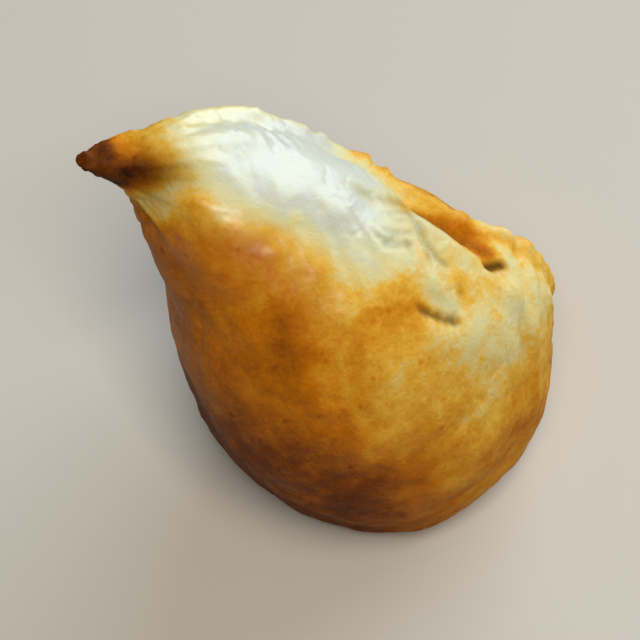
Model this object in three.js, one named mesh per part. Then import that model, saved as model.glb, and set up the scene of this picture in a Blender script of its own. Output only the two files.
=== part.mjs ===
// A baked samosa: a closed pocket of dough with a round, puffed belly, drawn up and to one side into
// a pinched horn. Two seams climb the belly and wind into the horn. Low on the horn's side the side
// seam gapes, with a slit and a small hole beside its rolled lip. The pocket rests on the flat foot
// that met the baking tray. Millimetres, +Z up, horn towards -X, origin under the middle of the whole.
import * as THREE from "three";
import { ImprovedNoise } from "three/addons/math/ImprovedNoise.js";
import { mergeVertices } from "three/addons/utils/BufferGeometryUtils.js";

// Driving dimensions
const footRadius = 20;
const bellyRadius = 33.5;
const neckRadius = 20;
const tipRadius = 2.5;
const tipHeight = 94;
const tipReach = 42.5;
const footSink = 1; // how much of the round underside the flat foot takes off

// The two seams: the angle of each low on the belly, anticlockwise from +X as seen from above, the
// height and half-width of its pinched lip, and the shares of the spine's length between which the lip
// rises out of the belly
const sideSeam = { angle: 13, lip: 2.4, halfWidth: 2, startShare: 0.14, fullShare: 0.4 };
const backSeam = { angle: 128, lip: 2, halfWidth: 2.1, startShare: 0.08, fullShare: 0.24 };
const seams = [sideSeam, backSeam];

// The lips thin out on the horn where the pocket is narrower than fullLipRadius, and vary in height by
// raggedShare, over raggedLength
const fullLipRadius = 15;
const raggedShare = 0.4;
const raggedLength = 6;

// How far the seams wind round from the belly to the horn's tip, in degrees, and where they start to
const seamTurn = 65;
const turnStartShare = 0.2;

// The belly's corner at the foot of the side seam
const corner = { angle: 8, share: 0.355, height: 4.9, halfWidth: 13 };

// The horn is pinched to flattened sides, with the side seam's crest on the edge between two of them
const flatsCount = 3;
const flatsStartShare = 0.55;
const flatsFullShare = 0.8;
const flatsDepth = 0.06;

// Folds and creases, each straight between two places on the unrolled skin. A place is an angle from
// the side seam, in degrees, and a distance along the spine. A negative height is a hollow.
const folds = [
  { name: "crest of the side seam", from: [-1, 69], to: [-2, 65.5], height: 1, halfWidth: 2.2 },
  { name: "hollow behind the side seam", from: [40, 70], to: [32, 37], height: -4.6, halfWidth: 13 },
  { name: "slit", from: [-14, 59.5], to: [-11, 50.2], height: -2.7, halfWidth: 3 },
  { name: "hole at the slit's end", from: [-14, 47.4], to: [-16, 46], height: -2.6, halfWidth: 1.7 },
  { name: "front lip of the slit", from: [-29, 61], to: [-28, 55], height: 0.5, halfWidth: 2 },
  { name: "dip behind the slit", from: [16, 58], to: [11, 50], height: -4.6, halfWidth: 8 },
  { name: "flattened left side", from: [-168, 52], to: [-130, 24], height: -1.8, halfWidth: 14 },
  { name: "pleat down the flank", from: [-18, 43], to: [-36, 24], height: 0.6, halfWidth: 2.2 },
  { name: "crease beside the pleat", from: [-26, 43], to: [-43, 26], height: -0.6, halfWidth: 2 },
  { name: "dent", from: [-46, 52], to: [-53, 55], height: -1.4, halfWidth: 2.2 },
  { name: "ridge under the dent", from: [-44, 48.5], to: [-60, 52.5], height: 0.9, halfWidth: 2.2 },
];

// The uneven swelling of the baked skin: the size and height of each scale of bumps, which die out
// where the pocket is narrower than fullSwellRadius
const swells = [
  { size: 19, height: 1.3 },
  { size: 8, height: 0.7 },
];
const fullSwellRadius = 12;

// The skin's relief starts above the foot, and closes at the two ends of the spine
const reliefStart = 1;
const reliefFull = 10;
const reliefRadius = 4;

// How finely the skin is divided, along the outline and round it. The spokes stand closeStep apart near
// these angles, and further apart away from them, up to wideStep.
const ringStep = 2.1;
const closeAngles = [...seams.map((seam) => seam.angle), sideSeam.angle - 12, sideSeam.angle - 24];
const closeStep = 1.3;
const wideStep = 4.4;
const closeReach = 3;
const stepGrowth = 0.35;
const mergeDistance = 1e-3;

const crustColor = new THREE.Color(0xc8913f);
const crustRoughness = 0.42;

const { degToRad, smoothstep, clamp } = THREE.MathUtils;
const fullTurn = 2 * Math.PI;
const noise = new ImprovedNoise();

// The pocket's centre line, from the foot up through the belly and over into the horn
const spine = new THREE.CatmullRomCurve3(
  [
    new THREE.Vector3(0, 0, -footSink),
    new THREE.Vector3(0, 0, 0.23 * tipHeight),
    new THREE.Vector3(-0.12 * tipReach, -2.4, 0.49 * tipHeight),
    new THREE.Vector3(-0.42 * tipReach, 4.2, 0.76 * tipHeight),
    new THREE.Vector3(-0.67 * tipReach, 6, 0.905 * tipHeight),
    new THREE.Vector3(-tipReach, 3.6, tipHeight),
  ],
  false,
  "centripetal",
);
const spineLength = spine.getLength();

// The plain pocket's outline: its radius at shares of the spine's length
const outline = new THREE.SplineCurve(
  [
    [0, 0],
    [0.6 * footRadius, 0],
    [footRadius, 0],
    [0.82 * bellyRadius, 0.045],
    [0.94 * bellyRadius, 0.13],
    [bellyRadius, 0.24],
    [0.95 * bellyRadius, 0.38],
    [0.8 * bellyRadius, 0.52],
    [neckRadius, 0.65],
    [0.68 * neckRadius, 0.78],
    [0.28 * neckRadius, 0.9],
    [tipRadius, 0.965],
    [0.6 * tipRadius, 0.995],
    [0, 1],
  ].map(([radius, share]) => new THREE.Vector2(radius, share * spineLength)),
);

function turnBetween(angle, from) {
  return Math.atan2(Math.sin(angle - from), Math.cos(angle - from));
}

// A rounded ridge's share of its height at a distance from its crest
function ridge(distance, halfWidth) {
  return Math.exp(-((distance / halfWidth) ** 2));
}

function lipHeight({ angle: degrees, lip, halfWidth, startShare, fullShare }, angle, along, radius) {
  const risen = smoothstep(along / spineLength, startShare, fullShare);
  const fade = risen * Math.min(1, radius / fullLipRadius);
  const ragged = 1 + raggedShare * noise.noise(along / raggedLength, degrees / raggedLength, 0);
  return lip * fade * ragged * ridge(turnBetween(angle, degToRad(degrees)) * radius, halfWidth);
}

function cornerHeight(angle, along, radius) {
  const across = turnBetween(angle, degToRad(corner.angle)) * radius;
  return corner.height * ridge(Math.hypot(across, along - corner.share * spineLength), corner.halfWidth);
}

function foldHeight({ from, to, height, halfWidth }, angle, along, radius) {
  const middle = 0.5 * (from[0] + to[0]);
  const turn = turnBetween(degToRad(sideSeam.angle + middle), angle);
  const unrolled = ([degrees, distance]) => {
    return new THREE.Vector3((turn + degToRad(degrees - middle)) * radius, distance - along, 0);
  };
  const crest = new THREE.Line3(unrolled(from), unrolled(to));
  const nearest = crest.closestPointToPoint(new THREE.Vector3(), true, new THREE.Vector3());
  return height * ridge(nearest.length(), halfWidth);
}

function flatsHeight(angle, share, radius) {
  const depth = flatsDepth * smoothstep(share, flatsStartShare, flatsFullShare) * radius;
  return depth * Math.cos(flatsCount * (angle - degToRad(sideSeam.angle)));
}

function swellHeight({ size, height }, { x, y, z }, radius) {
  return height * Math.min(1, radius / fullSwellRadius) * noise.noise(x / size, y / size, z / size);
}

// The skin's point at a distance along the spine and an angle round it, where the plain pocket has
// this radius
function skinPoint(along, angle, radius) {
  const share = Math.min(1, along / spineLength);
  const centre = spine.getPointAt(share);
  const axis = spine.getTangentAt(share);
  const back = new THREE.Vector3(0, 1, 0).projectOnPlane(axis).normalize();
  const side = new THREE.Vector3().crossVectors(back, axis);
  const turned = angle + degToRad(seamTurn) * smoothstep(share, turnStartShare, 1);
  const outward = side.multiplyScalar(Math.cos(turned)).addScaledVector(back, Math.sin(turned));
  const plain = centre.clone().addScaledVector(outward, radius);

  let height = cornerHeight(angle, along, radius) + flatsHeight(angle, share, radius);
  for (const seam of seams) height += lipHeight(seam, angle, along, radius);
  for (const fold of folds) height += foldHeight(fold, angle, along, radius);
  for (const swell of swells) height += swellHeight(swell, plain, radius);
  height *= smoothstep(along, reliefStart, reliefFull) * smoothstep(radius, 0, reliefRadius);

  const point = plain.addScaledVector(outward, height);
  point.z = Math.max(0, point.z);
  return point;
}

// The angles of the spokes once round. The last is the first again, so that the skin closes.
function spokeAngles() {
  const start = degToRad(sideSeam.angle);
  const end = start + fullTurn - (0.5 * closeStep) / bellyRadius;
  const angles = [];
  for (let angle = start; angle < end; ) {
    angles.push(angle);
    const reach = Math.min(...closeAngles.map((place) => Math.abs(turnBetween(angle, degToRad(place)))));
    const step = closeStep + stepGrowth * (reach * bellyRadius - closeReach);
    angle += clamp(step, closeStep, wideStep) / bellyRadius;
  }
  return [...angles, start];
}

// The pocket is turned as a plain onion, and each point of it is then moved to its place on the skin.
// Last of all the pocket is slid along the ground until the origin is under its middle.
function pocketGeometry() {
  const angles = spokeAngles();
  const profile = outline.getSpacedPoints(Math.round(outline.getLength() / ringStep));
  const geometry = new THREE.LatheGeometry(profile, angles.length - 1);
  const { position } = geometry.attributes;
  for (let i = 0; i < position.count; i++) {
    const angle = angles[Math.floor(i / profile.length)];
    const { x: radius, y: along } = profile[i % profile.length];
    position.setXYZ(i, ...skinPoint(Math.max(0, along), angle, Math.max(0, radius)));
  }
  geometry.deleteAttribute("normal");
  geometry.deleteAttribute("uv");
  const pocket = mergeVertices(geometry, mergeDistance);
  pocket.computeBoundingBox();
  const middle = pocket.boundingBox.getCenter(new THREE.Vector3());
  pocket.translate(-middle.x, -middle.y, 0);
  pocket.computeVertexNormals();
  return pocket;
}

const crust = new THREE.MeshStandardMaterial({ color: crustColor, roughness: crustRoughness, metalness: 0 });
const samosa = new THREE.Mesh(pocketGeometry(), crust);
samosa.name = "samosa";

const root = new THREE.Group();
root.add(samosa);

export default root;
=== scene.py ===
"""A baked samosa: a puffed pocket of glazed dough with a pinched, burnt horn, on a pale floor.

The solid gives the pocket's form. Its skin is divided finely here and gets the crimps, creases,
blisters and torn edges of baked dough, colours that run from pale through amber to burnt, painted
sheen on the hump and painted shade in its creases, slit and skirt, and an uneven glaze.
"""

import math

import bpy
import numpy as np
from bpy.props import FloatProperty, FloatVectorProperty, IntProperty, PointerProperty
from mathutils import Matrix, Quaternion, Vector, noise


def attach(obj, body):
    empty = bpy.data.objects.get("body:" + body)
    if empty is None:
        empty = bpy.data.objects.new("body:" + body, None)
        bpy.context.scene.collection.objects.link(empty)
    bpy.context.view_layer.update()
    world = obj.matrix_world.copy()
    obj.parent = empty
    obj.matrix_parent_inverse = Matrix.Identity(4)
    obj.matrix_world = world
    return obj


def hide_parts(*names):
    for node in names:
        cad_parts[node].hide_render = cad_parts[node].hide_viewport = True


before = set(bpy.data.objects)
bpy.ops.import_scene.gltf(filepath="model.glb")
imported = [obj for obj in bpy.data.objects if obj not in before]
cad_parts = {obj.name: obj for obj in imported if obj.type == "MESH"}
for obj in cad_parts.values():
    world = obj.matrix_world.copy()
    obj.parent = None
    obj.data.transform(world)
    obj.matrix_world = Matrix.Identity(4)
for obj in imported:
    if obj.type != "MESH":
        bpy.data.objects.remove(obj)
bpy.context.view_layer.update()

bl_info = {
    "name": "Baked Samosa",
    "version": (1, 0, 0),
    "blender": (4, 5, 0),
    "location": "3D View > Sidebar > Samosa",
    "description": "Dresses the samosa's solid as glazed, baked dough and sets it on a lit floor",
    "category": "Object",
}

MM = 0.001

# The pocket's centre line from the foot to the horn's tip, in millimetres from the foot's middle,
# and the place of the foot's middle under the whole
TIP_HEIGHT = 94.0
TIP_REACH = 42.5
SPINE = (
    (0, 0, -1),
    (0, 0, 0.23 * TIP_HEIGHT),
    (-0.12 * TIP_REACH, -2.4, 0.49 * TIP_HEIGHT),
    (-0.42 * TIP_REACH, 4.2, 0.76 * TIP_HEIGHT),
    (-0.67 * TIP_REACH, 6, 0.905 * TIP_HEIGHT),
    (-TIP_REACH, 3.6, TIP_HEIGHT),
)
FOOT_MIDDLE = (3.951, 0.926, 0)

# The plain pocket's radius at shares of the centre line's length
OUTLINE = (
    (0, 20),
    (0.045, 27.5),
    (0.13, 31.5),
    (0.24, 33.5),
    (0.38, 31.8),
    (0.52, 26.8),
    (0.65, 20),
    (0.78, 13.6),
    (0.9, 5.6),
    (0.965, 2.5),
    (1, 0),
)

# The seams' angles low on the belly, how far they wind round on the way to the tip, and the share
# of the centre line's length where they start to
SIDE_SEAM = 13.0
BACK_SEAM = 128.0
SEAM_TURN = 65.0
TURN_START = 0.2

# The camera: its place in millimetres, how far below level it is pitched, the direction that it is
# then turned to by the shortest way, its lens and sensor in millimetres, and its range in metres
CAMERA_PLACE = (73.2, -237.4, 556.8)
CAMERA_PITCH = 55.5
CAMERA_LOOK = (-0.1365, 0.4237, -0.9217)
CAMERA_LENS = 178.0
CAMERA_SENSOR = 36.0
CAMERA_RANGE = (0.05, 20.0)

# The lights stand behind to the right and overhead, in metres, and face the pocket's middle
LIT_POINT = (0, 0, 0.05)
WINDOW = {"place": (0.72, 1.12, 0.62), "width": 1.5, "height": 0.9, "tint": (0.78, 0.91, 1.0)}
LAMP = {"place": (0.22, -0.36, 1.16), "width": 0.45, "height": 0.45, "tint": (1.0, 0.93, 0.8)}
SKY_TINT = (0.9, 0.95, 1.0)


# ---------------------------------------------------------------- the unrolled skin


# How many points are placed on the skin at once, and how much a radius unlike the plain pocket's
# counts against a place on the centre line
BATCH = 4000
RADIUS_WEIGHT = 0.03

# How far a line pressed by hand strays, in millimetres, and over what length
WAVER = 0.9
WAVER_LENGTH = 4.5

# The shares of the centre line's length between which a seam's lip rises out of the belly, and the
# radius under which it thins out on the horn
LIP_RISE = (0.1, 0.26)
LIP_RADIUS = 14


def smoothstep(x, low, high):
    t = np.clip((x - low) / (high - low), 0, 1)
    return t * t * (3 - 2 * t)


def bell(distance, half_width):
    return np.exp(-((distance / half_width) ** 2))


def trough(distance, half_width, steepness):
    """1 on a line and 0 away from it, like a bell with a flat top and steep sides."""
    return 1 / (1 + (distance / half_width) ** steepness)


def read_off(table, x):
    """A table's value at x, on straight lines between its rows."""
    return np.interp(x, *zip(*table))


def wrap(degrees):
    """The same angle, from -180 to 180."""
    return (degrees + 180) % 360 - 180


def grain(places, size, shift=0.0):
    """Smooth noise from -1 to 1 over places in millimetres, with lumps of a size."""
    size = np.broadcast_to(np.array(size, float), (3,))
    scaled = places / size + shift
    return np.array([noise.noise(p) for p in scaled.tolist()])


def flat_grain(x, y, size, shift):
    """Smooth noise over the unrolled skin, with lumps of a size in x and in y."""
    return grain(np.stack([x, y, x * 0], axis=1), (*size, 1), shift)


def lumps(places, layers):
    """Layers of smooth noise on each other, each with its height, size and shift."""
    return sum(height * grain(places, size, shift) for height, size, shift in layers)


def spine_line(spans=48, samples=400):
    """Even points along the centre line, their tangents, and the length run at each."""
    points = [np.array(p, float) for p in SPINE]
    points = [2 * points[0] - points[1], *points, 2 * points[-1] - points[-2]]
    line = []
    for a, b, c, d in zip(points, points[1:], points[2:], points[3:]):
        ab, bc, cd = (np.linalg.norm(q - p) ** 0.5 for p, q in ((a, b), (b, c), (c, d)))
        leave = ((b - a) / ab - (c - a) / (ab + bc) + (c - b) / bc) * bc
        arrive = ((c - b) / bc - (d - b) / (bc + cd) + (d - c) / cd) * bc
        bend = -3 * b + 3 * c - 2 * leave - arrive
        twist = 2 * b - 2 * c + leave + arrive
        for t in np.linspace(0, 1, spans, endpoint=False):
            line.append(b + leave * t + bend * t**2 + twist * t**3)
    line.append(points[-2])
    line = np.array(line)
    run = np.concatenate([[0], np.cumsum(np.linalg.norm(np.diff(line, axis=0), axis=1))])
    even = np.linspace(0, run[-1], samples)
    line = np.stack([np.interp(even, run, line[:, k]) for k in range(3)], axis=1)
    tangent = np.gradient(line, axis=0)
    return line, tangent / np.linalg.norm(tangent, axis=1, keepdims=True), even


def nearest_rings(points, line, tangent, plain):
    """The place on the centre line whose ring round the plain pocket lies nearest each point."""
    near = np.empty(len(points), int)
    for start in range(0, len(points), BATCH):
        out = points[start : start + BATCH, None] - line
        ahead = (out * tangent).sum(2) ** 2
        radius = np.sqrt(np.maximum((out**2).sum(2) - ahead, 0))
        cost = ahead + RADIUS_WEIGHT * (radius - plain) ** 2
        near[start : start + BATCH] = cost.argmin(1)
    return near


class Skin:
    """Each point's place on the pocket, in millimetres and degrees: its distance along the centre
    line, its angle round it and its distance out from it.

    A place on the skin is degrees from the side seam and millimetres along the centre line."""

    def __init__(self, places):
        line, tangent, run = spine_line()
        self.place = places / MM - np.array(FOOT_MIDDLE)
        near = nearest_rings(self.place, line, tangent, read_off(OUTLINE, run / run[-1]))
        axis = tangent[near]
        back = np.array([0.0, 1.0, 0.0]) - axis * axis[:, 1:2]
        back /= np.linalg.norm(back, axis=1, keepdims=True)
        side = np.cross(back, axis)
        out = self.place - line[near]
        self.along = run[near] + (out * axis).sum(1)
        self.share = np.clip(self.along / run[-1], 0, 1)
        self.radius = np.hypot((out * side).sum(1), (out * back).sum(1))
        self.turned = np.degrees(np.arctan2((out * back).sum(1), (out * side).sum(1)))
        self.angle = self.turned - SEAM_TURN * smoothstep(self.share, TURN_START, 1)

    def off(self, angle):
        """Degrees round from an angle, from -180 to 180."""
        return wrap(self.angle - angle)

    def across(self, angle):
        """Millimetres round the skin from an angle."""
        return np.radians(self.off(angle)) * self.radius

    def beside(self, seam):
        """Millimetres round the skin from a seam, with the waver of a line pressed by hand."""
        return self.across(seam) + WAVER * grain(self.place, WAVER_LENGTH, seam)

    def lip(self):
        """How fully a seam's lip has risen, from 0 to 1."""
        return smoothstep(self.share, *LIP_RISE) * np.clip(self.radius / LIP_RADIUS, 0, 1)

    def line(self, places):
        """Millimetres from a line through places on the skin, and the share of it run there."""
        best, run = np.full(len(self.along), np.inf), np.zeros(len(self.along))
        for i, (start, end) in enumerate(zip(places, places[1:])):
            middle = (start[0] + end[0]) / 2
            turn = wrap(SIDE_SEAM + middle - self.angle)
            ends = []
            for degrees, along in (start, end):
                across = np.radians(turn + degrees - middle) * self.radius
                ends.append(np.stack([across, along - self.along], axis=1))
            step = ends[1] - ends[0]
            t = np.clip(-(ends[0] * step).sum(1) / (step**2).sum(1), 0, 1)
            gap = np.linalg.norm(ends[0] + step * t[:, None], axis=1)
            closer = gap < best
            best[closer], run[closer] = gap[closer], (i + t[closer]) / (len(places) - 1)
        return best, run

    def stroke(self, places, half_width):
        """A soft line through places on the skin: 1 on it, and fading out beside it."""
        return bell(self.line(places)[0], half_width)

    def patch(self, degrees, along, wide, tall):
        """A soft spot: 1 at a place on the skin, and fading out over wide and tall millimetres."""
        across = np.radians(wrap(self.angle - SIDE_SEAM - degrees)) * self.radius
        return np.exp(-((across / wide) ** 2) - ((self.along - along) / tall) ** 2)

    def patches(self, table):
        """Soft spots on each other, each with its strength and then its place, width and height."""
        return sum(strength * self.patch(*place) for strength, *place in table)


# ---------------------------------------------------------------- the dough's relief

# All heights, depths, half-widths and lengths are in millimetres.

# The seams, with the shift of each one's noise. On a lip's crest are ragged lumps, whose size is
# along it and across it, and crimps, pressed in where their noise is over a threshold. Beside it
# are two grooves.
SEAMS = ((SIDE_SEAM, 3.0), (BACK_SEAM, 11.0))
RAGGED_HEIGHT = 0.7
RAGGED_LIFT = 0.2
RAGGED_HALF_WIDTH = 1.7
RAGGED_SIZE = (2.1, 7.5)
CRIMP_DEPTH = 0.8
CRIMP_HALF_WIDTH = 2.2
CRIMP_SIZE = (3.4, 1)
CRIMPED = (0.05, 0.4)
GROOVE_DEPTH = 0.3
GROOVE_OFF = 2.9
GROOVE_HALF_WIDTH = 0.9

# The fine pleats that fan out from a lip: the step from one to the next, how much they slant and
# stray, and the distances from the crest over which they rise and die out
PLEAT_HEIGHT = 0.13
PLEAT_STEP = 2.6
PLEAT_SLANT = 0.35
PLEAT_STRAY = 1.6
PLEAT_STRAY_SIZE = (9, 5)
PLEAT_RISE = (2.2, 3.6)
PLEAT_FALL = (5, 11)


def both_sides(distance, off, half_width):
    """Two soft lines, one on each side of a crest."""
    return bell(distance - off, half_width) + bell(distance + off, half_width)


def seam_relief(skin):
    """The rolled lips' crimps and torn edges, and the fine pleats that fan out from them."""
    height = np.zeros(len(skin.along))
    lip = skin.lip()
    for seam, shift in SEAMS:
        across = skin.across(seam)
        ragged = flat_grain(skin.along, across, RAGGED_SIZE, shift)
        crest = lip * bell(across, RAGGED_HALF_WIDTH)
        height += crest * (RAGGED_HEIGHT * ragged + RAGGED_LIFT)
        crimp = smoothstep(flat_grain(skin.along, across * 0, CRIMP_SIZE, shift + 9), *CRIMPED)
        height -= lip * CRIMP_DEPTH * bell(across, CRIMP_HALF_WIDTH) * crimp
        grooves = both_sides(skin.beside(seam), GROOVE_OFF, GROOVE_HALF_WIDTH)
        height -= lip * GROOVE_DEPTH * grooves * (1 + ragged)
        drift = flat_grain(skin.along, across, PLEAT_STRAY_SIZE, shift + 4)
        away = np.abs(across)
        run = skin.along + PLEAT_SLANT * away + PLEAT_STRAY * drift
        reach = smoothstep(away, *PLEAT_RISE) * (1 - smoothstep(away, *PLEAT_FALL))
        pleats = np.sin(2 * np.pi * run / PLEAT_STEP) * (1 + drift)
        height += lip * PLEAT_HEIGHT * reach * pleats
    return height


# The slit, the hole at its end, the wall between its bottom and the rolled lip, and its two lips,
# as places on the skin
SLIT = ((-12, 58.5), (-11.5, 55), (-9.5, 50.8))
SLIT_HOLE = ((-18, 48.9), (-12.8, 45.7))
SLIT_WALL = ((-10.3, 57.5), (-8.4, 53), (-7.8, 50), (-10, 47.8))
FRONT_LIP = ((-26, 60), (-25, 55), (-19, 50.5), (-17, 48.8))
ROLLED_LIP = ((-3, 61), (-3.6, 54), (-4.5, 49), (-6, 44.5))

# Half-widths: the slit's at its ends and what it gains in its middle, the hole's, and the wall's at
# shares of its length
SLIT_END_WIDTH = 0.7
SLIT_SWELL = 1.2
HOLE_WIDTH = 0.68
WALL_WIDTH = ((0, 0.8), (0.3, 1.9), (0.8, 2.1), (1, 1.5))

# How high and wide the two lips stand, and how deep the slit and the hole go, over what the solid
# has of them
FRONT_LIP_HEIGHT = 0.3
FRONT_LIP_WIDTH = 1.0
ROLLED_LIP_HEIGHT = 0.45
ROLLED_LIP_WIDTH = 0.9
SLIT_DEPTH = 0.5
HOLE_DEPTH = 0.8


class Slit:
    """The slit beside the side seam: how fully each point lies in its cut, in the hole at its end
    and on its wall, browned and partly painted shade under the rolled lip, from 0 to 1."""

    def __init__(self, skin):
        gap, run = skin.line(SLIT)
        swell = np.sin(np.pi * np.clip(run, 0.05, 0.95))
        self.cut = trough(gap, SLIT_END_WIDTH + SLIT_SWELL * swell, 6)
        self.hole = trough(skin.line(SLIT_HOLE)[0], HOLE_WIDTH, 4)
        gap, run = skin.line(SLIT_WALL)
        self.wall = trough(gap, read_off(WALL_WIDTH, run), 5)


def slit_relief(skin, slit):
    """The gape's steep walls, its two thin lips and the hole."""
    lips = FRONT_LIP_HEIGHT * skin.stroke(FRONT_LIP, FRONT_LIP_WIDTH)
    lips += ROLLED_LIP_HEIGHT * skin.stroke(ROLLED_LIP, ROLLED_LIP_WIDTH)
    return lips - SLIT_DEPTH * slit.cut - HOLE_DEPTH * slit.hole


# The crease under the rolled lip, and the dent before the slit
UNDER_LIP = ((-36, 72), (-33, 69), (-22, 63), (-11, 58.8))
DENT = ((-45.5, 51.2), (-50, 53), (-55.5, 56.4))

# Fine, shaded creases: depth, half-width, darkness, and places on the skin
CREASES = (
    # the short combed ones before the slit's upper end
    (0.3, 0.5, 0.26, ((-50.6, 67.1), (-49, 65.2), (-43.4, 63.5))),
    (0.25, 0.45, 0.2, ((-45.1, 66), (-41.4, 64), (-34.7, 61.9))),
    (0.3, 0.5, 0.26, ((-51.4, 64.9), (-45.4, 63.2), (-39.6, 61.5))),
    (0.25, 0.45, 0.2, ((-35, 65.7), (-28.6, 63.8), (-25.6, 62.2))),
    (0.2, 0.4, 0.16, ((-34.8, 64.4), (-30.6, 62.8))),
    (0.2, 0.4, 0.18, ((-41.1, 62.1), (-44, 60.7))),
    # the one that runs down before the slit, and the pits below it
    (0.45, 0.6, 0.28, ((-27, 62.2), (-31.5, 61), (-34.6, 60), (-35.7, 57.6), (-35.1, 55.7))),
    (0.3, 0.6, 0.3, ((-38, 58.8), (-38.8, 58.2))),
    (0.35, 0.8, 0.26, ((-36.4, 52.7), (-38, 52.2))),
    # the ones under the rolled lip and in the dent
    (0.2, 1.2, 0.36, UNDER_LIP),
    (0.6, 0.6, 0.78, DENT),
)

# Folds: height, half-width, and places on the skin
FOLDS = (
    # over and under the dent
    (0.45, 1.5, ((-42, 54.6), (-47, 58))),
    (0.22, 1.1, ((-48, 50), (-54, 52))),
    # the pleats and creases that run down the flank below the hole
    (-0.5, 0.8, ((-5, 43.2), (-16, 42.4), (-26, 40.5), (-31, 36))),
    (0.45, 0.9, ((-1.5, 41.4), (-15, 40.2), (-24.5, 37))),
    (0.4, 0.8, ((-9, 46.6), (-16, 44.9), (-21, 42.6))),
    (0.35, 0.9, ((-20, 42), (-27, 34), (-35, 25))),
    (-0.3, 0.6, ((-24, 42), (-31, 33), (-39, 24))),
    (0.3, 0.7, ((-28, 44), (-36, 35), (-42, 27))),
    (-0.3, 0.55, ((-33, 45), (-40, 36), (-46, 29))),
    (0.35, 0.7, ((-8, 38), (-11, 28), (-15, 20))),
    (-0.35, 0.55, ((-13, 38), (-17, 27), (-22, 19))),
    # the soft furrows over the hump and along the horn's root, and down the back
    (-0.22, 1.2, ((-62, 78), (-74, 69), (-80, 60))),
    (-0.2, 1.0, ((-96, 82), (-104, 73), (-106, 65))),
    (0.25, 1.5, ((-84, 80), (-92, 70), (-96, 62))),
    (-0.2, 0.9, ((-50, 74), (-56, 68), (-66, 64))),
    (-0.28, 0.7, ((-110, 58), (-97, 54), (-88, 55))),
    (-0.3, 0.8, ((150, 70), (162, 58), (166, 46))),
    (-0.35, 0.9, ((60, 66), (66, 54), (63, 42))),
    (-0.3, 0.8, ((-160, 78), (-166, 66), (-176, 56))),
)

# How far a fold and a crease stray from their lines, with the noise's size and shift, and between
# which shares of the way in from an end each is thinned out
FOLD_STRAY = (0.35, 5.0, 31.0)
FOLD_TAPER = (-0.15, 0.3)
CREASE_STRAY = (0.28, 1.7, 35.0)
CREASE_TAPER = (-0.25, 0.2)


def stray_lines(skin, stray, taper, lines):
    """How fully each point lies on each line, from 0 to 1. A line is a half-width and places."""
    aside = lumps(skin.place, [stray])
    for half_width, places in lines:
        gap, run = skin.line(places)
        yield smoothstep(np.minimum(run, 1 - run), *taper) * bell(gap + aside, half_width)


def crease_sum(skin, strengths):
    """The creases on each other, each with its own strength."""
    lines = [(half_width, places) for _, half_width, _, places in CREASES]
    marks = stray_lines(skin, CREASE_STRAY, CREASE_TAPER, lines)
    return sum(strength * mark for strength, mark in zip(strengths, marks))


def fold_relief(skin):
    """The folds and furrows, and the fine creases cut into them."""
    lines = [(half_width, places) for _, half_width, places in FOLDS]
    marks = stray_lines(skin, FOLD_STRAY, FOLD_TAPER, lines)
    height = sum(lift * mark for (lift, _, _), mark in zip(FOLDS, marks))
    return height - crease_sum(skin, [depth for depth, _, _, _ in CREASES])


# The horn is pinched between these shares of the centre line's length, less where it is narrower
# than a radius, but always by a least share. It is twisted by these degrees, from another share on.
PINCH = (0.74, 0.9)
PINCH_RADIUS = 9
LEAST_PINCH = 0.25
TWIST = 55
TWIST_START = 0.75

# Its lengthwise creases: how closely they stand round it, how long they run, their height, and how
# much of it is sunk into the skin. Then how much closer the finer ones stand, and their height.
CREASES_ROUND = 2.2
CREASE_LENGTH = 26
CREASE_HEIGHT = 0.55
CREASE_SUNK = 0.6
FINE_CREASES = (2.3, 2.3, 1.5)
FINE_HEIGHT = 0.3

# The horn's torn end: where it starts, and its lumps
TORN_END = (0.945, 0.985)
TORN_LUMPS = ((0.55, 1.7, 5.0), (0.3, 0.9, 9.0))


def horn_relief(skin):
    """The lengthwise creases of the twisted horn, and its torn, charred end."""
    turn = np.radians(skin.turned + TWIST * smoothstep(skin.share, TWIST_START, 1))
    ring = CREASES_ROUND * np.cos(turn), CREASES_ROUND * np.sin(turn), skin.along / CREASE_LENGTH
    ring = np.stack(ring, axis=1)
    creases = 1 - 2 * np.abs(grain(ring, 1.0, 7.0))
    fine = grain(ring * FINE_CREASES, 1.0, 23.0)
    height = CREASE_HEIGHT * (creases - CREASE_SUNK) + FINE_HEIGHT * fine
    height *= smoothstep(skin.share, *PINCH) * np.clip(skin.radius / PINCH_RADIUS, LEAST_PINCH, 1)
    return height + smoothstep(skin.share, *TORN_END) * lumps(skin.place, TORN_LUMPS)


# The belly's soft lumps, its stretch marks and the fine unevenness all over it. The marks run
# upwards, where a noise squeezed in height is within a width of 0, and come and go over the belly.
SOFT_LUMPS = ((0.3, 6.5, 2.0), (0.13, 3.0, 6.0))
MARK_DEPTH = 0.16
MARK_WIDTH = 0.09
MARK_SQUEEZE = (1, 1, 0.55)
MARKED = (-0.05, 0.3)
UNEVEN_HEIGHT = 0.05
UNEVEN_SIZE = (1.3, 1.3)


def skin_relief(skin):
    """The belly's soft lumps, faint stretch marks and fine unevenness."""
    stretch = np.abs(grain(skin.place * MARK_SQUEEZE, 4.2, 41.0))
    marks = smoothstep(MARK_WIDTH - stretch, 0, MARK_WIDTH)
    marks *= smoothstep(grain(skin.place, 13.0, 51.0), *MARKED)
    uneven = flat_grain(skin.across(0.0), skin.along, UNEVEN_SIZE, 61.0)
    return lumps(skin.place, SOFT_LUMPS) - MARK_DEPTH * marks + UNEVEN_HEIGHT * uneven


# Blisters stand above the foot and below the burnt tip. Their widths, the share of them that is
# browned, how browned, and the share of its width over which a blister is.
BLISTERS_ABOVE = 8
BLISTERS_BELOW = 0.93
BLISTER_WIDTHS = (0.6, 1.9)
BROWNED_SHARE = 0.35
BROWNED_AMOUNTS = (0.3, 1)
BROWNED_WIDTH = 0.6


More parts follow.
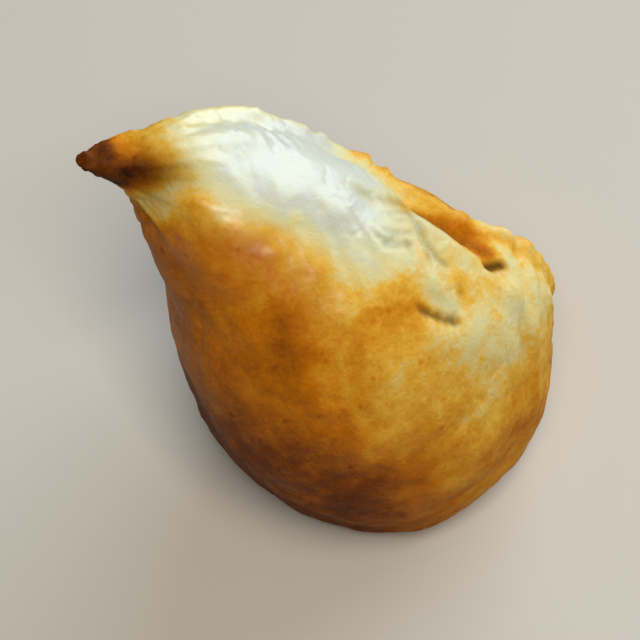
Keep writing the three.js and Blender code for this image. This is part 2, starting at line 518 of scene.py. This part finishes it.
def blisters(skin, settings):
    """Small domes raised by the oven's heat: their height, and where their tops brown."""
    picks = np.random.default_rng(settings.seed)
    free = (skin.place[:, 2] > BLISTERS_ABOVE) & (skin.share < BLISTERS_BELOW)
    height = np.zeros(len(skin.along))
    brown = np.zeros(len(skin.along))
    for centre in picks.choice(np.nonzero(free)[0], settings.blister_count, replace=False):
        size = picks.uniform(*BLISTER_WIDTHS)
        gap = np.linalg.norm(skin.place - skin.place[centre], axis=1)
        height += bell(gap, size) * size * settings.blister_height
        if picks.random() < BROWNED_SHARE:
            brown += bell(gap, size * BROWNED_WIDTH) * picks.uniform(*BROWNED_AMOUNTS)
    return height, np.clip(brown, 0, 1)


# ---------------------------------------------------------------- how far each place is baked, with painted sheen and shade


# How far baked the crust is at each of its colours, from 0 to 1. The pale colour stands partly for
# a painted sheen.
BAKED = {
    "pale": 0.09,
    "straw": 0.17,
    "cream": 0.26,
    "gold": 0.36,
    "tawny": 0.46,
    "amber": 0.57,
    "brown": 0.79,
    "burnt": 0.97,
}

# How far baked the belly is round it, by degrees from the side seam
BROWNING = (
    (-180, 0.64),
    (-150, 0.62),
    (-128, 0.6),
    (-112, 0.6),
    (-104, 0.56),
    (-96, 0.5),
    (-88, 0.46),
    (-78, 0.41),
    (-62, 0.37),
    (-40, 0.33),
    (-10, 0.32),
    (30, 0.4),
    (90, 0.5),
    (150, 0.6),
    (180, 0.64),
)

# How far its tones stray round it, in degrees, and how much they vary
TONE_STRAY = ((7, 12.0, 71.0), (4, 5.0, 75.0))
TONES = ((0.05, 9.0, 81.0), (0.03, 3.6, 91.0))

# The darker skirt, browned and partly painted shade from the tray beside it, by degrees from the
# side seam: the millimetres along the centre line where it starts, and how much darker it is.
# Behind, between these degrees, it keeps to a height instead.
SKIRT_EDGE = (
    (-180, 60),
    (-150, 60),
    (-125, 56),
    (-105, 52),
    (-90, 47),
    (-75, 42),
    (-55, 36),
    (0, 32),
    (60, 34),
    (120, 45),
    (180, 60),
)
SKIRT_BROWNING_AND_SHADE = ((-95, 0.22), (-60, 0.14), (120, 0.14), (180, 0.22))
SKIRT_STRAY = (3, 7.0, 85.0)
SKIRT_FADE = (-5, 14)
BEHIND_START = (20, 70)
BEHIND_END = (120, 175)
BEHIND_LIFT = 2

# Browner and paler patches: strength, place on the skin, width and height
BELLY_PATCHES = (
    (-0.08, -82, 52, 8, 6),
    (0.07, -72, 60, 6, 4),
    (0.08, -114, 66, 7, 6),
    (-0.06, -98, 69, 7, 5),
    (-0.06, -118, 79, 8, 6),
    (-0.06, -107, 75.5, 6, 5),
    (-0.06, -87, 64, 6, 5),
    (-0.05, -46, 43, 9, 6),
    (0.08, -80, 43, 8, 5),
    (0.1, -42, 30, 9, 8),
    (0.05, -98, 44, 12, 8),
    (-0.07, 100, 60, 16, 14),
)
# The pale dough's patches: the paler ones on the hump's upper edge and on the bulge under the hole
# are partly painted highlights
PALE_AND_SHEEN_PATCHES = (
    (0.1, -58, 58.5, 3, 3),
    (0.11, -36.5, 52.2, 2.8, 2.4),
    (0.03, -38, 58.5, 5, 4),
    (-0.07, -48.5, 57, 3, 2.5),
    (-0.07, -24, 76, 6, 7),
    (-0.09, -3, 76, 5, 6),
    (-0.07, -3, 46.5, 4, 3),
    (0.05, -61, 42, 5, 4),
    (-0.04, -41, 55.5, 3, 3),
)
HORN_PATCHES = (
    (-0.09, -140, 95, 7, 5),
    (-0.04, -130, 91, 6, 4),
    (-0.08, -101, 96, 3.5, 3.5),
    (0.15, -172, 104.5, 4, 2.5),
)

# The pale dough is partly a painted sheen on the hump, a cool white where the glaze reflects the
# window.
# The edge of the pale dough: millimetres along the centre line, and degrees from the side seam
PALE_EDGE = (
    (28, 30),
    (33, 0),
    (37, -24),
    (40, -32),
    (44.5, -42),
    (49, -52),
    (53, -57),
    (57, -53),
    (60, -54),
    (64, -70),
    (67, -76),
    (70, -78),
    (76.5, -82),
    (83, -101),
    (89, -118),
    (94.5, -135),
    (99, -170),
)
PALE_STRAY = ((1.8, 7.0, 21.0), (1.1, 2.6, 25.0))

# The pale dough fades out over these millimetres from its edge, over these degrees behind the side
# seam, and over these millimetres from where the horn starts to brown
PALE_FADE = (-6, 5)
PALE_BEHIND = (4, 34)
PALE_END = (-5, 4)

# Browner lines over it, tints that go with the painted shade in the crease under the rolled lip and
# in the dent: how much browner, half-width, and places on the skin
SHADED_CREASE_TINTS = ((0.09, 1.5, UNDER_LIP), (0.1, 1.2, DENT))

# How far baked the pale dough is, and how much less on the hump's palest part, which is painted
# sheen
PALE_BAKE = 0.29
PAINTED_SHEEN = 0.18
PAINTED_SHEEN_PATCH = (-42, 79.5, 15, 17)
PAINTED_SHEEN_FADE = (0.1, 0.7)

# Where the horn starts to brown, in millimetres along, by degrees from the side seam, how far that
# edge strays, the millimetres over which it fades in, and how far baked the horn is
HORN_EDGE = ((-110, 93), (-60, 97.5), (-25, 100.5), (60, 100.5), (180, 93))
HORN_STRAY = (1.6, 3.5, 111.0)
HORN_FADE = (-2, 5)
HORN_BAKE = 0.38

# The burnt streak along the horn's lower side, as places on the skin: how much browner it is, where
# it darkens and widens, in millimetres along, and its half-width with what it gains
STREAK = ((-160, 104.5), (-126, 103.5), (-110, 100), (-102, 96), (-97, 92))
STREAK_BROWNING = 0.42
STREAK_START = (95, 103)
STREAK_WIDENS = (94, 102)
STREAK_WIDTH = 1.8
STREAK_GAIN = 1.4

# The horn's end, in millimetres along: where it grows browner still and by how much, where it is
# charred and how far that is baked, and the limit for the whole crust
END_START = (101, 105)
END_BROWNING = 0.1
CHARRED_START = (104, 107)
CHARRED_BAKE = 0.88
BAKE_LIMIT = 0.9

# The foot that lay on the tray: the heights over which it ends, and how much browner it is
FOOT_EDGE = (0.1, 1.6)
FOOT_BROWNING = 0.06
FOOT_LUMPS = (0.08, 5.0, 101.0)


def towards(value, level, share):
    """Moves a value to a level, by a share of the way."""
    return value + (level - value) * share


def belly_bake(skin, off):
    """The belly, browner down its skirt, partly with painted shade, and most on the left, with its
    patches.
    """
    stray = off + lumps(skin.place, TONE_STRAY)
    bake = read_off(BROWNING, stray) + lumps(skin.place, TONES)
    behind = smoothstep(off, *BEHIND_START) * (1 - smoothstep(off, *BEHIND_END))
    height = towards(skin.along, skin.place[:, 2] + BEHIND_LIFT, behind)
    depth = read_off(SKIRT_EDGE, stray) - height + lumps(skin.place, [SKIRT_STRAY])
    bake += smoothstep(depth, *SKIRT_FADE) * read_off(SKIRT_BROWNING_AND_SHADE, off)
    return bake + skin.patches(BELLY_PATCHES)


def pale_and_sheen_bake(skin, off, horn_edge, bake):
    """Pale dough over the hump and beside the slit, with a soft, uneven edge, partly a painted
    sheen.
    """
    inside = np.radians(off - read_off(PALE_EDGE, skin.along)) * skin.radius
    inside += lumps(skin.place, PALE_STRAY)
    pale = smoothstep(inside, *PALE_FADE) * (1 - smoothstep(off, *PALE_BEHIND))
    pale *= 1 - smoothstep(skin.along - horn_edge, *PALE_END)
    level = PALE_BAKE - PAINTED_SHEEN * smoothstep(skin.patch(*PAINTED_SHEEN_PATCH), *PAINTED_SHEEN_FADE)
    bake = towards(bake, level, pale) + skin.patches(PALE_AND_SHEEN_PATCHES)
    for strength, half_width, places in SHADED_CREASE_TINTS:
        bake += strength * skin.stroke(places, half_width)
    return bake


def horn_bake(skin, horn_edge, bake):
    """The horn, which browns towards its end and is burnt along its lower side and at its tip."""
    along = skin.along + lumps(skin.place, [HORN_STRAY])
    bake = towards(bake, HORN_BAKE, smoothstep(along - horn_edge, *HORN_FADE))
    bake += skin.patches(HORN_PATCHES) + END_BROWNING * smoothstep(along, *END_START)
    half_width = STREAK_WIDTH + STREAK_GAIN * smoothstep(skin.along, *STREAK_WIDENS)
    streak = smoothstep(skin.along, *STREAK_START) * skin.stroke(STREAK, half_width)
    bake += STREAK_BROWNING * streak
    bake = towards(bake, CHARRED_BAKE, smoothstep(along, *CHARRED_START))
    return np.minimum(bake, BAKE_LIMIT)


# The seams' toasted crests, and the lines beside them: how much browner, and half-width. The lines
# lie TOASTED_OFF from the crest.
TOASTED_CREST = (0.1, 1.2)
TOASTED_LINES = (0.05, 1.1)
TOASTED_OFF = 3.1

# How far baked the side seam's crest beside the slit, the slit's wall and its hole are. The wall's
# amber is partly painted shade under the rolled lip.
TOASTED_LIP = ((-1, 69.5), (-1, 61), (-2, 54), (-3.5, 49), (-5, 43))
TOASTED_LIP_WIDTH = 1.6
TOASTED_LIP_BAKE = 0.43
WALL_BAKE_AND_SHADE = 0.62
HOLE_BAKE = 0.44


def seam_bake(skin, slit, bake):
    """Toasts the seams' crests and the lines beside them, and the slit's wall, partly painted
    shade, and hole.
    """
    for seam, _ in SEAMS:
        beside = skin.beside(seam)
        crest, crest_width = TOASTED_CREST
        lines, line_width = TOASTED_LINES
        toast = crest * bell(beside, crest_width)
        toast += lines * both_sides(beside, TOASTED_OFF, line_width)
        bake = bake + skin.lip() * toast
    bake = towards(bake, TOASTED_LIP_BAKE, skin.stroke(TOASTED_LIP, TOASTED_LIP_WIDTH))
    bake = towards(bake, WALL_BAKE_AND_SHADE, slit.wall)
    return towards(bake, HOLE_BAKE, slit.hole)


def bake_field(skin, slit):
    """How far each place is baked, on the scale of BAKED, with painted sheen on the hump and
    painted shade down the skirt, in two creases and on the slit's wall.
    """
    off = skin.off(SIDE_SEAM)
    horn_edge = read_off(HORN_EDGE, off)
    bake = pale_and_sheen_bake(skin, off, horn_edge, belly_bake(skin, off))
    bake = horn_bake(skin, horn_edge, bake)
    under = 1 - smoothstep(skin.place[:, 2], *FOOT_EDGE)
    bake += under * (FOOT_BROWNING + lumps(skin.place, [FOOT_LUMPS]))
    return seam_bake(skin, slit, bake)


# How dark the painted shade in the slit and the hole is, and the line along the horn's underside,
# darkened by soot and painted shade, and patches of painted shade: strength, place on the skin,
# width and height
SLIT_SHADE = 0.25
HOLE_SHADE = 0.92
SMOKE_AND_SHADE = ((-118, 103), (-108, 99), (-98, 96), (-93, 91))
SMOKE_SHADE = 0.7
SMOKE_AND_SHADE_WIDTH = 3.2
SMOKE_AND_SHADE_START = (91, 99)
SMOKE_AND_SHADE_END = (101, 105)
SHADE_PATCHES = ((0.13, -34, 61, 7, 5), (0.24, -47, 100, 4, 3.5), (0.3, -146, 99.3, 3, 2.5))


def shade_field(skin, slit):
    """How dark each place is with painted shade: in the slit, the creases and patches, and along
    the horn, where soot darkens it too.
    """
    shade = SLIT_SHADE * slit.cut + HOLE_SHADE * slit.hole + skin.patches(SHADE_PATCHES)
    shade += crease_sum(skin, [dark for _, _, dark, _ in CREASES])
    smoke_and_shade = smoothstep(skin.along, *SMOKE_AND_SHADE_START) * (1 - smoothstep(skin.along, *SMOKE_AND_SHADE_END))
    return shade + SMOKE_SHADE * smoke_and_shade * skin.stroke(SMOKE_AND_SHADE, SMOKE_AND_SHADE_WIDTH)


# Where the glaze is thick: over the hump, on the front and under the hole, as place, width and
# height. It is rubbed off the side seam's lip, and ends on the horn, by degrees from the side seam.
HUMP_GLAZE = (-50, 83, 25, 19)
HUMP_STRENGTH = 1.3
HUMP_FADE = (0.2, 0.9)
GLAZED_PATCHES = ((0.36, -42, 60, 9, 9), (0.35, -2, 46, 6, 5))
DRY_LIP = ((-6, 76), (-5, 64), (-4, 54), (-5, 47))
DRY_LIP_WIDTH = 3
THIN_GLAZE = 0.1
THIN_RISE = (15, 60)
GLAZE_END = ((-105, 88), (-70, 93), (60, 93), (180, 88))
GLAZE_FADE = 6


def glaze_field(skin, slit):
    """The glaze lies thick over the pale hump and thin on the belly. The slit, the foot and the
    horn's end are dry."""
    thick = smoothstep(HUMP_STRENGTH * skin.patch(*HUMP_GLAZE), *HUMP_FADE)
    for patch in GLAZED_PATCHES:
        thick = np.maximum(thick, skin.patches([patch]))
    thick *= 1 - skin.stroke(DRY_LIP, DRY_LIP_WIDTH)
    glaze = towards(THIN_GLAZE * smoothstep(skin.place[:, 2], *THIN_RISE), 1, thick)
    end = read_off(GLAZE_END, skin.off(SIDE_SEAM))
    glaze *= 1 - smoothstep(skin.along, end, end + GLAZE_FADE)
    return glaze * (1 - np.maximum(slit.cut, slit.wall)) * (1 - slit.hole)


# ---------------------------------------------------------------- tools


def deselect_all():
    if bpy.context.object and bpy.context.object.mode != "OBJECT":
        bpy.ops.object.mode_set(mode="OBJECT")
    bpy.ops.object.select_all(action="DESELECT")


def pick_only(piece):
    deselect_all()
    piece.select_set(True)
    bpy.context.view_layer.objects.active = piece


def finish_modifier(piece, kind, **values):
    pick_only(piece)
    modifier = piece.modifiers.new(kind.title(), kind)
    for name, value in values.items():
        setattr(modifier, name, value)
    bpy.ops.object.modifier_apply(modifier=modifier.name)


def read_corners(mesh, name):
    """The mesh's places ("co") or normals ("normal"), a row for each of its vertices."""
    flat = np.empty(len(mesh.vertices) * 3, np.float32)
    mesh.vertices.foreach_get(name, flat)
    return flat.reshape(-1, 3).astype(float)


def keep_field(mesh, name, values):
    layer = mesh.attributes.new(name, "FLOAT", "POINT")
    layer.data.foreach_set("value", np.clip(values, 0, 1).astype(np.float32))


# The range that holds most of a noise texture's values
NOISE_RANGE = (0.3, 0.7)


class Nodes:
    """Adds and joins a material's nodes."""

    def __init__(self, name):
        self.material = bpy.data.materials.new(name)
        self.material.use_nodes = True
        self.tree = self.material.node_tree
        self.shader = self.tree.nodes["Principled BSDF"]
        self.places = self.add("ShaderNodeTexCoord").outputs["Object"]

    def feed(self, node, name, value):
        """Joins an input to a socket, or sets its own value."""
        if isinstance(value, bpy.types.NodeSocket):
            self.tree.links.new(value, node.inputs[name])
        else:
            node.inputs[name].default_value = value

    def set(self, name, value):
        self.feed(self.shader, name, value)

    def add(self, kind, inputs=None, **values):
        node = self.tree.nodes.new(kind)
        for name, value in values.items():
            setattr(node, name, value)
        for name, value in (inputs or {}).items():
            self.feed(node, name, value)
        return node

    def math(self, operation, *values, clamp=False):
        inputs = dict(enumerate(values))
        return self.add("ShaderNodeMath", inputs, operation=operation, use_clamp=clamp).outputs[0]

    def sum(self, *values):
        total = values[0]
        for value in values[1:]:
            total = self.math("ADD", total, value)
        return total

    def noise(self, size_mm, detail=3.0, roughness=0.5, distortion=0.0):
        inputs = {
            "Vector": self.places,
            "Scale": 1 / (size_mm * MM),
            "Detail": detail,
            "Roughness": roughness,
            "Distortion": distortion,
        }
        return self.add("ShaderNodeTexNoise", inputs).outputs["Fac"]

    def cells(self, size_mm):
        """Scattered points a size apart: the distance to the nearest, and its own colour."""
        inputs = {"Vector": self.places, "Scale": 1 / (size_mm * MM)}
        outputs = self.add("ShaderNodeTexVoronoi", inputs, feature="F1").outputs
        return outputs["Distance"], outputs["Color"]

    def field(self, name):
        return self.add("ShaderNodeAttribute", attribute_name=name).outputs["Fac"]

    def ramp(self, value, stops):
        node = self.add("ShaderNodeValToRGB", {"Fac": value})
        elements = node.color_ramp.elements
        while len(elements) < len(stops):
            elements.new(0.5)
        for element, (place, colour) in zip(elements, stops):
            element.position = place
            element.color = (*colour, 1)
        return node.outputs["Color"]

    def range(self, value, from_min, from_max, to_min, to_max):
        inputs = {
            "Value": value,
            "From Min": from_min,
            "From Max": from_max,
            "To Min": to_min,
            "To Max": to_max,
        }
        return self.add("ShaderNodeMapRange", inputs).outputs["Result"]

    def darken(self, colour, light):
        """A colour times a light from 0 to 1. The sockets of a colour mix go by number, because
        other kinds of mix use the same names."""
        sockets = {0: 1, 6: colour, 7: light}
        node = self.add("ShaderNodeMix", sockets, data_type="RGBA", blend_type="MULTIPLY")
        return node.outputs[2]

    def spread(self, texture, low, high):
        """A noise texture spread from low to high."""
        return self.range(texture, *NOISE_RANGE, low, high)


# ---------------------------------------------------------------- sizes and colours


def colour(name, about, value):
    return FloatVectorProperty(
        name=name, description=about, default=value, size=3, subtype="COLOR", min=0, max=1
    )


class CrustSettings(bpy.types.PropertyGroup):
    voxel: FloatProperty(
        name="Skin cell",
        description="Width of the cells that the skin is divided into",
        default=0.00054,
        unit="LENGTH",
    )
    relief: FloatProperty(
        name="Relief", description="Share of the full height of all the skin's relief", default=1.0
    )
    blister_count: IntProperty(
        name="Blisters", description="How many blisters the skin has", default=150
    )
    blister_height: FloatProperty(
        name="Blister height",
        description="A blister's height as a share of its width",
        default=0.12,
    )
    seed: IntProperty(name="Seed", description="Places the blisters", default=12)
    # The pale colour is a cool, greyish white: the least baked dough, and partly a painted sheen
    # where the glaze reflects the window.
    pale: colour("Pale crust", "The least baked dough", (0.47, 0.47, 0.4))
    straw: colour("Straw crust", "Pale dough that is set and dry", (0.54, 0.51, 0.3))
    cream: colour("Cream crust", "Dough that has just begun to colour", (0.59, 0.485, 0.2))
    gold: colour("Golden crust", "Lightly baked dough", (0.64, 0.36, 0.04))
    tawny: colour("Tawny crust", "Dough baked past golden", (0.55, 0.24, 0.012))
    amber: colour("Amber crust", "Well baked dough", (0.45, 0.14, 0.001))
    brown: colour("Brown crust", "Dark baked dough", (0.18, 0.042, 0.001))
    burnt: colour("Burnt crust", "The charred end of the horn", (0.03, 0.009, 0.003))


class StageSettings(bpy.types.PropertyGroup):
    floor: colour("Floor", "The floor's colour", (0.5, 0.47, 0.43))
    floor_width: FloatProperty(
        name="Floor width", description="Side of the square floor", default=5.0, unit="LENGTH"
    )
    window_power: FloatProperty(
        name="Window", description="Power of the large light behind, to the right", default=26.5
    )
    lamp_power: FloatProperty(
        name="Lamp", description="Power of the warm light overhead", default=12.0
    )
    sky: FloatProperty(name="Sky", description="Strength of the light all round", default=0.1)


# ---------------------------------------------------------------- the pieces


# Freckles: the distance between them, in millimetres, the distances from a middle over which one
# fades, and which of them brown the dough, and by how much
FRECKLE_STEP = 2.6
FRECKLE_FADE = (0.08, 0.3)
FRECKLED = (0.76, 0.95)
FRECKLE_BROWNING = 0.09

# Pores: the distance between them, in millimetres, how far one reaches, and its depth
PORE_STEP = 0.8
PORE_REACH = 0.22
PORE_DEPTH = 0.35

# The share of the mottling that shows through thick glaze, and of the light in full shade
MOTTLE_IN_GLAZE = 0.45
LIGHT_IN_SHADE = 0.12


def paint_crust(nodes, settings, speck):
    """Colours the dough by how far it is baked, with clouds, mottles, specks and freckles, and
    darkens it by the painted shade.
    """
    clouds = nodes.noise(11, detail=3, roughness=0.55, distortion=0.4)
    mottle = nodes.noise(3.1, detail=4, roughness=0.6, distortion=0.3)
    distance, own = nodes.cells(FRECKLE_STEP)
    own = nodes.add("ShaderNodeSeparateColor", {"Color": own}).outputs[0]
    freckle = nodes.math(
        "MULTIPLY",
        nodes.range(distance, *FRECKLE_FADE, 1, 0),
        nodes.range(own, *FRECKLED, 0, FRECKLE_BROWNING),
    )
    shift = nodes.sum(
        nodes.spread(clouds, -0.06, 0.06),
        nodes.spread(mottle, -0.055, 0.055),
        nodes.spread(speck, -0.03, 0.03),
        freckle,
    )
    shown = nodes.range(nodes.field("glaze"), 0.3, 1, 1, MOTTLE_IN_GLAZE)
    shift = nodes.math("MULTIPLY", shift, shown)
    baked = nodes.math("ADD", nodes.field("bake"), shift, clamp=True)
    base = nodes.ramp(baked, [(level, getattr(settings, name)) for name, level in BAKED.items()])
    light = nodes.range(nodes.field("shade"), 0, 1, 1, LIGHT_IN_SHADE)
    nodes.set("Base Color", nodes.darken(base, light))


def gloss_crust(nodes, speck):
    """Gives the dough an uneven glaze, and leaves the foot and the charred end dry."""
    sheen = nodes.noise(6, detail=4, roughness=0.6)
    dry = nodes.range(nodes.field("glaze"), 0, 0.3, 0.3, 0)
    rough = nodes.sum(nodes.spread(sheen, 0.33, 0.5), dry, nodes.spread(speck, -0.05, 0.05))
    nodes.set("Roughness", rough)
    nodes.set("Specular IOR Level", 0.05)
    nodes.set("Coat Weight", nodes.range(nodes.field("glaze"), 0, 1, 0.02, 1))
    nodes.set("Coat Roughness", 0.32)
    nodes.set("Coat IOR", 1.55)
    nodes.set("Subsurface Weight", 0.08)
    nodes.set("Subsurface Radius", (1.0, 0.45, 0.2))
    nodes.set("Subsurface Scale", 0.002)


def pit_crust(nodes):
    """Gives the dough the pores, orange peel and faint wrinkles of a dried skin."""
    peel = nodes.math("MULTIPLY", nodes.noise(0.9, detail=4, roughness=0.62), 0.6)
    pore = nodes.range(nodes.cells(PORE_STEP)[0], 0.0, PORE_REACH, -PORE_DEPTH, 0)
    wrinkle = nodes.noise(2.4, detail=5, roughness=0.6, distortion=1.2)
    height = nodes.sum(peel, pore, nodes.math("MULTIPLY", wrinkle, 1.4))
    bump = nodes.add("ShaderNodeBump", {"Height": height, "Strength": 0.75, "Distance": 0.00022})
    nodes.set("Normal", bump.outputs["Normal"])


def crust_material(settings):
    nodes = Nodes("baked_crust")
    speck = nodes.noise(0.75, detail=3, roughness=0.6)
    paint_crust(nodes, settings, speck)
    gloss_crust(nodes, speck)
    pit_crust(nodes)
    return nodes.material


# How the solid's skin is divided and softened: the distance within which loose corners are merged,
# the times that each face is halved, and how strongly and often the cells are smoothed
MERGE_DISTANCE = 1e-6
HALVINGS = 2
SOFTEN_SHARE = 0.5
SOFTEN_TIMES = 5

# In metres: what lies lower than this is the flat foot, and what is relief stays above this
FOOT_LIMIT = 0.0007
LEAST_CLEARANCE = 0.00005

# The heights over which the relief rises out of the foot, in millimetres, and how much browner a
# browned blister is
RELIEF_RISE = (0.4, 5)
BLISTER_BROWNING = 0.14


def divide_finely(pocket, voxel):
    """Turns the solid's large faces into small, even cells."""
    pick_only(pocket)
    bpy.ops.object.mode_set(mode="EDIT")
    bpy.ops.mesh.select_all(action="SELECT")
    bpy.ops.mesh.remove_doubles(threshold=MERGE_DISTANCE)
    bpy.ops.object.mode_set(mode="OBJECT")
    finish_modifier(pocket, "SUBSURF", levels=HALVINGS, render_levels=HALVINGS)
    finish_modifier(pocket, "REMESH", mode="VOXEL", voxel_size=voxel)
    finish_modifier(pocket, "SMOOTH", factor=SOFTEN_SHARE, iterations=SOFTEN_TIMES)


def raise_relief(mesh, places, skin, height):
    """Moves the skin out by its relief, and leaves the foot flat."""
    height = height * smoothstep(skin.place[:, 2], *RELIEF_RISE)
    moved = places + read_corners(mesh, "normal") * height[:, None] * MM
    foot = places[:, 2] == 0
    moved[:, 2] = np.where(foot, 0, np.maximum(moved[:, 2], LEAST_CLEARANCE))
    mesh.vertices.foreach_set("co", moved.astype(np.float32).ravel())
    mesh.update()


class SAMOSA_OT_crust(bpy.types.Operator):
    """Makes the baked pocket from the solid"""

    bl_idname = "samosa.crust"
    bl_label = "Baked pocket"

    def execute(self, context):
        settings = context.scene.samosa_crust
        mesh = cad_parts["samosa"].data.copy()
        mesh.name = "baked_pocket"
        mesh.materials.clear()
        pocket = bpy.data.objects.new("baked_pocket", mesh)
        context.scene.collection.objects.link(pocket)
        divide_finely(pocket, settings.voxel)

        mesh = pocket.data
        places = read_corners(mesh, "co")
        places[:, 2] = np.where(places[:, 2] < FOOT_LIMIT, 0, places[:, 2])
        skin = Skin(places)
        slit = Slit(skin)
        domes, browned = blisters(skin, settings)
        height = seam_relief(skin) + slit_relief(skin, slit) + fold_relief(skin)
        height += horn_relief(skin) + skin_relief(skin) + domes
        raise_relief(mesh, places, skin, settings.relief * height)

        keep_field(mesh, "bake", bake_field(skin, slit) + BLISTER_BROWNING * browned)
        keep_field(mesh, "shade", shade_field(skin, slit))
        keep_field(mesh, "glaze", glaze_field(skin, slit))
        mesh.polygons.foreach_set("use_smooth", np.ones(len(mesh.polygons), bool))
        mesh.materials.append(crust_material(settings))

        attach(pocket, "root")
        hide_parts("samosa")
        return {"FINISHED"}


def floor_material(settings):
    nodes = Nodes("pale_floor")
    nodes.set("Base Color", (*settings.floor, 1))
    nodes.set("Roughness", nodes.spread(nodes.noise(40), 0.6, 0.75))
    return nodes.material


def add_light(name, power, place, width, height, tint):
    """A soft rectangular light that faces the pocket's middle."""
    deselect_all()
    bpy.ops.object.light_add(type="AREA", location=place)
    light = bpy.context.object
    light.name = name
    light.rotation_euler = (Vector(LIT_POINT) - Vector(place)).to_track_quat("-Z", "Y").to_euler()
    light.data.shape = "RECTANGLE"
    light.data.size = width
    light.data.size_y = height
    light.data.energy = power
    light.data.color = tint


def add_camera():
    bpy.ops.object.camera_add(location=Vector(CAMERA_PLACE) * MM)
    camera = bpy.context.object
    camera.name = "camera"
    level = Quaternion((1, 0, 0), math.radians(90 - CAMERA_PITCH))
    ahead = level @ Vector((0, 0, -1))
    camera.rotation_mode = "QUATERNION"
    camera.rotation_quaternion = ahead.rotation_difference(Vector(CAMERA_LOOK)) @ level
    camera.data.lens = CAMERA_LENS
    camera.data.sensor_width = CAMERA_SENSOR
    camera.data.clip_start, camera.data.clip_end = CAMERA_RANGE
    return camera


class SAMOSA_OT_stage(bpy.types.Operator):
    """Makes the floor, the lights and the camera"""

    bl_idname = "samosa.stage"
    bl_label = "Floor, lights and camera"

    def execute(self, context):
        settings = context.scene.samosa_stage
        deselect_all()
        bpy.ops.mesh.primitive_plane_add(size=settings.floor_width, location=(0, 0, 0))
        floor = context.object
        floor.name = "floor"
        floor.data.materials.append(floor_material(settings))

        add_light("window", settings.window_power, **WINDOW)
        add_light("lamp", settings.lamp_power, **LAMP)
        world = bpy.data.worlds.new("soft_sky")
        world.use_nodes = True
        sky = world.node_tree.nodes["Background"]
        sky.inputs["Color"].default_value = (*SKY_TINT, 1)
        sky.inputs["Strength"].default_value = settings.sky
        context.scene.world = world
        context.scene.view_settings.view_transform = "Standard"

        context.scene.camera = add_camera()
        return {"FINISHED"}


class SAMOSA_PT_panel(bpy.types.Panel):
    """Shows the samosa's settings, and the buttons that make its pieces"""

    bl_idname = "SAMOSA_PT_panel"
    bl_label = "Baked Samosa"
    bl_space_type = "VIEW_3D"
    bl_region_type = "UI"
    bl_category = "Samosa"

    def draw(self, context):
        for settings in (context.scene.samosa_crust, context.scene.samosa_stage):
            box = self.layout.box()
            for name in settings.__annotations__:
                box.prop(settings, name)
        self.layout.operator(SAMOSA_OT_crust.bl_idname)
        self.layout.operator(SAMOSA_OT_stage.bl_idname)


CLASSES = (CrustSettings, StageSettings, SAMOSA_OT_crust, SAMOSA_OT_stage, SAMOSA_PT_panel)


def register():
    for cls in CLASSES:
        bpy.utils.register_class(cls)
    bpy.types.Scene.samosa_crust = PointerProperty(type=CrustSettings)
    bpy.types.Scene.samosa_stage = PointerProperty(type=StageSettings)


def unregister():
    del bpy.types.Scene.samosa_stage
    del bpy.types.Scene.samosa_crust
    for cls in reversed(CLASSES):
        bpy.utils.unregister_class(cls)


def main():
    register()
    bpy.ops.samosa.crust()
    bpy.ops.samosa.stage()


if __name__ == "__main__":
    main()
